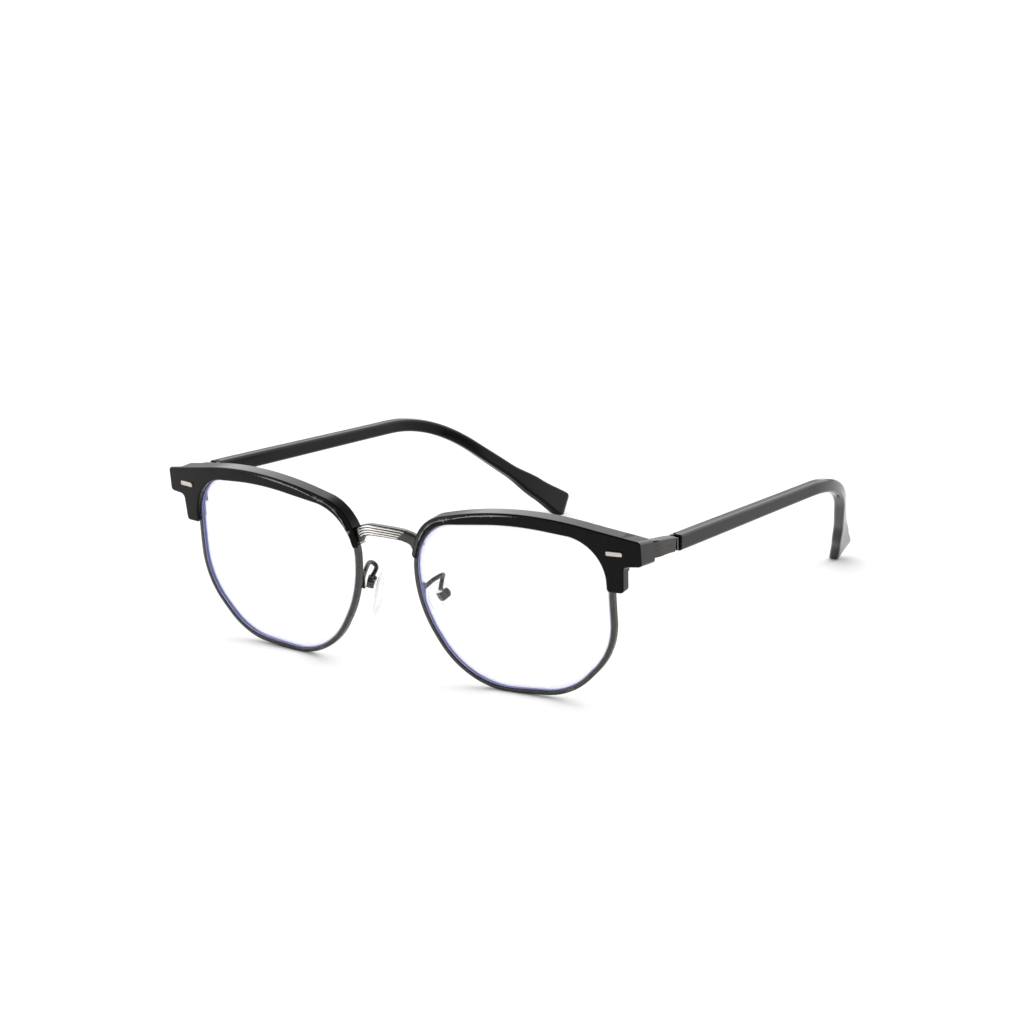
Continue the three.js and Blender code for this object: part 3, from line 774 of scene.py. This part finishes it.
def brow_shell():
    """The brow bar's closed skin: its front and rear, joined all round by a rounded side."""
    brow = Brow()
    flats, triangles = brow.flat_mesh()
    shell = Shell()

    def solid_point(flat, y):
        return from_lens(flat.x, y, brow.taper(flat.x, y, flat.y))

    front = [solid_point(p, brow.front(p)) for p in flats]
    rear = [solid_point(p, brow.rear(p)) for p in flats]
    shell.add(front, triangles)
    shell.add(rear, [face[::-1] for face in triangles])

    loops = []
    pairs = outline(BROW_CORNERS, 0, 0.4)
    for angle in even(5, 0, math.pi / 2):
        loops.append([(p - n * BROW_ROUND * (1 - math.sin(angle)), p - n * BROW_ROUND, math.cos(angle))
                      for p, n in pairs])
    rings = []
    for loop in loops:
        rings.append([solid_point(flat, brow.front(base) + BROW_ROUND * (1 - lift))
                      for flat, base, lift in loop])
    for loop in reversed(loops):
        ring = []
        for flat, base, lift in loop:
            start = brow.front(base) + BROW_ROUND
            back = brow.rear(base) - BROW_ROUND * (1 - lift)
            ring.append(solid_point(flat, max(back, start + 0.001)))
        rings.append(ring)
    shell.loft(rings, caps=False)
    # The painted highlight line's strength at each front point; the other points get none.
    crease_highlights = [brow.crease_highlight(p) for p in flats]
    shell.marks = {"crease_highlight": crease_highlights + [0.0] * (len(shell.points) - len(crease_highlights))}
    return shell


# ---------- plaque ----------
def plaque_shell():
    """A small rounded metal shield, standing just proud of the brow."""
    width, height = PLAQUE_SIZE
    proud, edge, corner = 0.45, 0.16, 0.3

    def ring_at(shrink, level):
        ring = []
        for a, b in rounded_section(width - 2 * shrink, height - 2 * shrink, corner - shrink, 5):
            x, z = PLAQUE_CENTRE.x + a, PLAQUE_CENTRE.y + b
            ring.append(from_lens(x, brow_face(x) + level, z))
        return ring

    rings = []
    for angle in even(4, math.pi / 2, 0):
        rings.append(ring_at(edge * (1 - math.cos(angle)), edge * (1 - math.sin(angle)) - proud))
    rings.append(ring_at(0, 0.05))
    return Shell().loft(rings)


# ---------- bridge ----------
def bridge_shell():
    """A bar with four long ribs that smooth out into feet on the rims."""
    half = [Vector((2.6, 1.1, 36.6)), Vector((5.4, 1.5, 36.3)), Vector((8, 2, 35.3)),
            Vector((9.35, 2.1, 33.5))]
    mirrored = [Vector((-p.x, p.y, p.z)) for p in reversed(half)]
    route = Route(smooth_path(mirrored + half))
    stations = even(120)
    ribs, steps, depth = 4, 60, 2.2
    rib_start, rib_end, rib_slant, fade = -8.3, 4.9, 0.8, 0.4
    crown, groove, setback = 0.22, 0.3, 0.25
    crest_highlights, valley_shades = [], []

    def section_at(t):
        height = 2.8 + 0.4 * abs(2 * t - 1) ** 4      # a little taller towards its feet
        x = route.at(t).x
        ring = rounded_section(depth, height, 0.45, 4)
        upper = [pair for pair in ring if pair[0] > 0 and pair[1] > 0]
        lower = [pair for pair in ring if pair[0] > 0 and pair[1] <= 0]
        front = []
        marks = []
        for i in range(steps + 1):
            up = (0.5 - i / steps) * (height - 0.3)
            ribbed = min(1.0, max(0.0, (x - rib_start) / fade))
            ribbed *= min(1.0, max(0.0, (rib_end + up * rib_slant - x) / fade))
            wave = abs(math.sin(math.pi * ribs * i / steps))
            bulge = crown * (1 - (2 * i / steps - 1) ** 2)
            front.append((-depth / 2 + setback - bulge + groove * ribbed * (1 - wave ** 0.6), up))
            # Marks for painted light on the ribs: a highlight along each crest and shade in each groove.
            marks.append((ribbed * min(1.0, 2 * wave * wave), ribbed * max(0.0, 1 - wave * 1.9)))
        edges = [(0.0, 0.0)] * (len(upper) + 1)
        for crest, valley_shade in edges + marks + [(0.0, 0.0)] * (len(lower) + 1):
            crest_highlights.append(crest)
            valley_shades.append(valley_shade)
        return upper + [(-depth / 4, height / 2)] + front + [(-depth / 4, -height / 2)] + lower

    shell = Shell().loft(sweep(route, stations, section_at))
    shell.marks = {"crest": crest_highlights, "valley_shade": valley_shades}
    return shell


# ---------- end piece, hinge ----------
def end_piece_shell():
    """The metal bar from behind the brow, through the block's slot, back to the hinge.

    A lug goes down from it to the rim's lock.
    """
    points = [from_lens(26.8, 6.6, 16.7), from_lens(29, 6.6, 16.7), from_lens(31.2, 6.8, 16.7),
              Vector((69.1, 10.8, 39.35)), Vector((70.2, 13.6, 39.2)), Vector((70.55, 17.5, 38.95)),
              Vector((70.85, 20.05, 38.7))]
    route = Route(smooth_path(points))
    widths = [(0, 1.2), (0.3, 1.3), (0.48, 1.9), (0.62, 2.9), (1, 2.9)]
    heights = [(0, 3), (0.44, 3.1), (0.56, 4.3), (1, 3.7)]

    def section_at(t):
        end = min(1.0, (1 - t) / 0.03 + 0.75)
        return rounded_section(lerp_keys(widths, t) * end, lerp_keys(heights, t) * end, 0.42, 3)

    shell = Shell().loft(sweep(route, even(60), section_at))
    lug = Shell().loft(slab((2.2, 1.1, 5.0), (28.9, 6.45, 13.7)))
    return shell.join(lug.moved(LENS_FRAME))


def leaf_shell(size, centre, knuckles):
    """A hinge leaf: a plate across the end of its arm, and fingers that carry the knuckles."""
    shell = Shell().loft(slab(size, centre, 0.1))
    reach = centre[1] - HINGE.y
    end = HINGE.y + math.copysign(0.5, reach)
    for bottom, top in knuckles:
        middle = (bottom + top) / 2
        finger = (0.9, abs(centre[1] - end), top - bottom)
        shell.loft(slab(finger, (HINGE.x, (centre[1] + end) / 2, middle), 0.05))
        profile = [(KNUCKLE_BORE, bottom), (KNUCKLE_RADIUS - 0.05, bottom),
                   (KNUCKLE_RADIUS, bottom + 0.05), (KNUCKLE_RADIUS, top - 0.05),
                   (KNUCKLE_RADIUS - 0.05, top), (KNUCKLE_BORE, top)]
        at = Matrix.Translation((HINGE.x, HINGE.y, 0))
        shell.loft(turned(profile, at), loop=True)
    return shell


def slotted_screw(radius, head_radius, head_height, length, matrix):
    """A screw whose head, with a driver slot, faces up; the shank hangs below."""
    half = 0.13      # half the slot's width
    shell = Shell()
    shell.loft(turned([(radius, -length), (radius, 0.02)], matrix, 20))
    for sign in (-1, 1):
        rings = []
        for grow, level in ((1, 0), (1, head_height - 0.1), (0.9, head_height)):
            ring = []
            reach = head_radius * grow
            limit = math.asin(half / reach)
            for j in range(17):
                angle = limit + (math.pi - 2 * limit) * j / 16
                across, out = reach * math.cos(angle), sign * reach * math.sin(angle)
                ring.append(matrix @ Vector((across, out, level)))
            rings.append(ring)
        shell.loft(rings)
    floor = [(head_radius * 0.96, 0.0), (head_radius * 0.96, head_height * 0.45)]
    shell.loft(turned(floor, matrix, 28))
    return shell


def hinge_leaves():
    """The front leaf carries the outer two knuckles and the rear leaf the one between them."""
    far, near, middle = 1.45, 0.75, 0.5      # levels of the knuckles' ends, from the hinge's middle
    outer = [(HINGE.z - far, HINGE.z - near), (HINGE.z + near, HINGE.z + far)]
    inner = [(HINGE.z - middle, HINGE.z + middle)]
    return (leaf_shell(FRONT_LEAF_SIZE, FRONT_LEAF_CENTRE, outer),
            leaf_shell(REAR_LEAF_SIZE, REAR_LEAF_CENTRE, inner))


def pin_screw_shell():
    """The screw that is the hinge's pin, put in from above."""
    head = Matrix.Translation((HINGE.x, HINGE.y, HINGE.z + 1.5))
    return slotted_screw(radius=0.35, head_radius=0.6, head_height=0.3, length=2.9, matrix=head)


# ---------- temple ----------
def temple_route():
    """Straight to the bend, a curve round it, then straight down to the tip."""
    before = TEMPLE_BEND + (TEMPLE_FRONT - TEMPLE_BEND).normalized() * BEND_REACH
    after = TEMPLE_BEND + (TEMPLE_TIP - TEMPLE_BEND).normalized() * BEND_REACH
    points = [TEMPLE_FRONT.lerp(before, i / 10) for i in range(10)]
    for i in range(41):
        t = i / 40
        points.append(before * (1 - t) ** 2 + TEMPLE_BEND * 2 * t * (1 - t) + after * t * t)
    points += [after.lerp(TEMPLE_TIP, i / 10) for i in range(1, 11)]
    return Route(points)


def temple_shell():
    """The temple arm: slim at the bend, then a paddle that is cut flat where it rests on the table.

    The inner half of its front end stands back, which leaves room for the hinge's knuckles.
    """
    widths = [(0, 3.3), (0.6, 3.1), (1, 2.7)]
    heights = [(0, 4), (0.5, 3.5), (0.74, 3.35), (0.84, 3.6), (0.92, 5.9), (1, 8.1)]
    twists = [(0, 0), (0.6, 0), (1, TIP_TWIST)]
    route = temple_route()
    face_edge, tip_edge = 0.35, 1.3
    relief_depth, relief_side = 1.05, 0.25
    length = route.reach[-1]
    relief = relief_depth / length

    def section_at(t):
        from_face = min(1.0, t * length / face_edge)
        from_tip = min(1.0, (1 - t) * length / tip_edge)
        pull = face_edge * (1 - math.sqrt(1 - (1 - from_face) ** 2))
        pull += tip_edge * (1 - math.sqrt(1 - (1 - from_tip) ** 2)) * 0.8
        width = lerp_keys(widths, t) - 2 * pull
        height = lerp_keys(heights, t) - 2 * pull
        section = rounded_section(width, height, min(0.8, width * 0.45), 6)
        return [(min(a, relief_side), b) for a, b in section] if t < relief else section

    near = even(5, 0, face_edge / length) + [relief - 0.0001, relief + 0.0001]
    middle = even(150, 0.01, 1 - tip_edge * 1.15 / length)
    far = even(10, 1 - tip_edge / length, 1)
    shell = Shell().loft(sweep(route, near + middle + far, section_at, lambda t: lerp_keys(twists, t)))
    soft = 0.4
    for point in shell.points:
        point.z = (point.z + math.sqrt(point.z ** 2 + soft ** 2)) / 2
    return shell


# ---------- nose pads ----------
def pad_arm_shell():
    """A wire that loops back and up from its foot on the rim, then down into the pad's box."""
    end = pad_frame() @ (PAD_MOUNT + Vector((-1.55, 0, -0.1)))
    points = [Vector((9.3, 3.4, 23)), Vector((10.3, 6, 24.5)), Vector((11.1, 8.3, 25.2)),
              Vector((10.8, 9.5, 24.9)), Vector((10.15, 9.9, 23.9)), Vector((10.25, 9.4, 22.8)), end]
    shell = Shell().loft(round_wire(Route(smooth_path(points)), PAD_WIRE_RADIUS, 60))
    shell.loft(slab((1.0, 0.55, 4.4), (9.3, 3.4, 22.3), 0.2))
    return shell


def pad_box_shell():
    """Two cheeks and a back, round the pad's core."""
    shell = Shell()
    for sign in (-1, 1):
        shell.loft(slab((2.2, 0.72, 1.9), (PAD_MOUNT.x, sign * 0.93, PAD_MOUNT.z), 0.16))
    shell.loft(slab((2.2, 2.4, 0.5), (PAD_MOUNT.x, 0, PAD_MOUNT.z - 0.7), 0.14))
    return shell.moved(pad_frame())


def pad_screw_shell():
    """The screw across the box, its head on the side towards the wearer."""
    head = pad_frame() @ Matrix.Translation((PAD_MOUNT.x, -1.32, PAD_MOUNT.z + 0.2))
    head = head @ Matrix.Rotation(math.pi / 2, 4, "X")
    return slotted_screw(radius=0.27, head_radius=1.0, head_height=0.42, length=2.8, matrix=head)


def pad_insert_shell():
    """A plate moulded into the pad, and a peg from it into the box."""
    shell = Shell()
    shell.loft(slab((5.8, 2.0, 0.5), (PAD_MOUNT.x + 1.6, 0, -0.55), 0.14))
    shell.loft(slab((1.1, 0.8, 2.3), (PAD_MOUNT.x, 0, -1.65), 0.14))
    return shell.moved(pad_frame())


def nose_pad_shell():
    """A soft oval pad, a little narrower at its lower end, with its ends curving away from the nose."""
    at = pad_frame()
    rings = []
    sides, rows = 48, 18
    for i in range(rows + 1):
        tilt = math.pi * i / rows
        spread = max(0.02, math.sin(tilt)) ** 0.75
        level = PAD_THICKNESS * math.cos(tilt)
        ring = []
        for j in range(sides):
            angle = 2 * math.pi * j / sides
            long = math.copysign(abs(math.cos(angle)) ** 0.9, math.cos(angle))
            cross = math.copysign(abs(math.sin(angle)) ** 0.85, math.sin(angle))
            squeeze = 1 - 0.12 * long
            x = PAD_LENGTH * long * spread
            y = PAD_WIDTH * cross * spread * squeeze
            dish = 0.22 * (x / PAD_LENGTH) ** 2
            ring.append(at @ Vector((x, y, level - dish)))
        rings.append(ring)
    return Shell().loft(rings)


# ---------- assembly ----------
def make_side(name, side):
    """The pieces of one side: name, shape, body, finish, the CAD node it stands for, sharp angle."""
    temple = f"{name}_temple_body"
    pad = f"{name}_pad_body"
    front_leaf, rear_leaf = hinge_leaves()
    for part, shell, body, slot, node, sharp in (
            ("clear_lens", lens_shell(), "front", "clear_lens", "lens", 60),
            ("eyewire", rim_shell(), "front", "gunmetal", "rim", 30),
            ("brow_bar", brow_shell(), "front", "acetate", "brow", 28),
            ("shield", plaque_shell(), "front", "champagne", "brow_plaque", 35),
            ("end_bar", end_piece_shell(), "front", "gunmetal", "end_piece", 35),
            ("front_leaf", front_leaf, "front", "gunmetal", "hinge_front_leaf", 35),
            ("rear_leaf", rear_leaf, temple, "gunmetal", "hinge_rear_leaf", 35),
            ("pin_screw", pin_screw_shell(), "front", "gunmetal", "hinge_screw", 35),
            ("temple_arm", temple_shell(), temple, "acetate", "temple", 35),
            ("pad_wire", pad_arm_shell(), "front", "gunmetal", "pad_arm", 35),
            ("pad_cup", pad_box_shell(), "front", "gunmetal", "pad_box", 35),
            ("cup_screw", pad_screw_shell(), "front", "gunmetal", "pad_screw", 35),
            ("pad_core", pad_insert_shell(), pad, "silicone", "pad_insert", 35),
            ("soft_pad", nose_pad_shell(), pad, "silicone", "nose_pad", 60)):
        piece(f"{name}_{part}", shell, side, body, slot, f"{name}_{node}", sharp)


def dress_cad_nodes():
    """Gives every CAD node the finish of its slot."""
    slots = {row["node"]: row["material_slot"] for row in frame["record"]["subparts"]}
    for node, thing in frame["nodes"].items():
        thing.data.materials.clear()
        thing.data.materials.append(SLOT_MATERIALS[slots[node]])


# ---------- camera, light, floor ----------
def make_camera():
    """The main view: a long lens, slightly from above, over the wearer's left."""
    azimuth, elevation, roll = math.radians(35.69), math.radians(15.82), math.radians(-1.98)
    distance = 0.8873
    aim = place(Vector((22.27, 23.26, 39.03)), 1)
    back = Vector((math.sin(azimuth) * math.cos(elevation), -math.cos(azimuth) * math.cos(elevation),
                   math.sin(elevation)))
    camera = bpy.data.objects.new("camera", bpy.data.cameras.new("camera"))
    camera.data.sensor_width = 36
    camera.data.lens = 127.35
    camera.data.clip_start = 0.05
    camera.data.clip_end = 20
    camera.location = aim + back * distance
    level = (-back).to_track_quat("-Z", "Y").to_matrix()
    camera.rotation_euler = (level @ Matrix.Rotation(roll, 3, "Z")).to_euler()
    bpy.context.scene.collection.objects.link(camera)
    bpy.context.scene.camera = camera


def make_floor():
    """A plain white floor at the height that the part stands on."""
    mesh = bpy.data.meshes.new("floor")
    reach = 6.0
    corners = [(-reach, -reach, 0), (reach, -reach, 0), (reach, reach, 0), (-reach, reach, 0)]
    mesh.from_pydata([Vector(c) + Vector((0, 0, cad_low.z)) for c in corners], [], [(0, 1, 2, 3)])
    shader = Shader("floor")
    shader.join(shader.ramp(shader.noise(3, 2), (0.9, 0.9, 0.9), (0.92, 0.92, 0.92)), "Base Color")
    shader.put("Roughness", 0.7).put("Specular IOR Level", 0.2)
    mesh.materials.append(shader.material)
    floor = bpy.data.objects.new("floor", mesh)
    bpy.context.scene.collection.objects.link(floor)


def area_light(name, location, target, size, power):
    """A rectangular lamp aimed at a target and kept out of reflections."""
    light = bpy.data.lights.new(name, "AREA")
    light.shape = "RECTANGLE"
    light.size, light.size_y = size
    light.energy = power
    holder = bpy.data.objects.new(name, light)
    holder.location = location
    holder.rotation_euler = (Vector(target) - Vector(location)).to_track_quat("-Z", "Y").to_euler()
    holder.visible_glossy = False
    bpy.context.scene.collection.objects.link(holder)


def make_light():
    """A sky with one bright band, dimmer below it and dark above, and two lamps.

    The sky's height is measured along a leaning axis, from -1 below to 1 above.
    """
    world = bpy.data.worlds.new("studio")
    world.use_nodes = True
    nodes, links = world.node_tree.nodes, world.node_tree.links
    direction = nodes.new("ShaderNodeTexCoord")
    lean = nodes.new("ShaderNodeVectorMath")
    lean.operation = "DOT_PRODUCT"
    lean.inputs[1].default_value = (0.29, -0.41, 0.87)
    height = nodes.new("ShaderNodeMapRange")
    height.inputs["From Min"].default_value = -1.0
    sky = nodes.new("ShaderNodeValToRGB")
    stops = [(0, 0.27), (0.32, 0.27), (0.375, 1), (0.63, 1), (0.71, 0.4), (0.77, 0.1), (1, 0.04)]
    for level, _ in stops[1:-1]:
        sky.color_ramp.elements.new(level)
    for element, (_, tone) in zip(sky.color_ramp.elements, stops):
        element.color = (tone, tone, tone, 1)
    links.new(direction.outputs["Generated"], lean.inputs[0])
    links.new(lean.outputs["Value"], height.inputs["Value"])
    links.new(height.outputs["Result"], sky.inputs["Fac"])
    links.new(sky.outputs["Color"], nodes["Background"].inputs["Color"])
    nodes["Background"].inputs["Strength"].default_value = 2.35
    bpy.context.scene.world = world
    bpy.context.scene.view_settings.view_transform = "Standard"
    area_light("ceiling", (0, 0.3, 2.5), (0, 0.3, 0), (5, 5), 65)
    area_light("key", (0.5, 0.55, 0.75), (0, 0, 0.02), (0.7, 0.7), 2.0)


make_camera()
make_floor()
make_light()
dress_cad_nodes()
for side_name, side_sign in (("left", 1), ("right", -1)):
    make_side(side_name, side_sign)
piece("nose_bridge", bridge_shell(), 1, "front", "gunmetal", "bridge", 40)
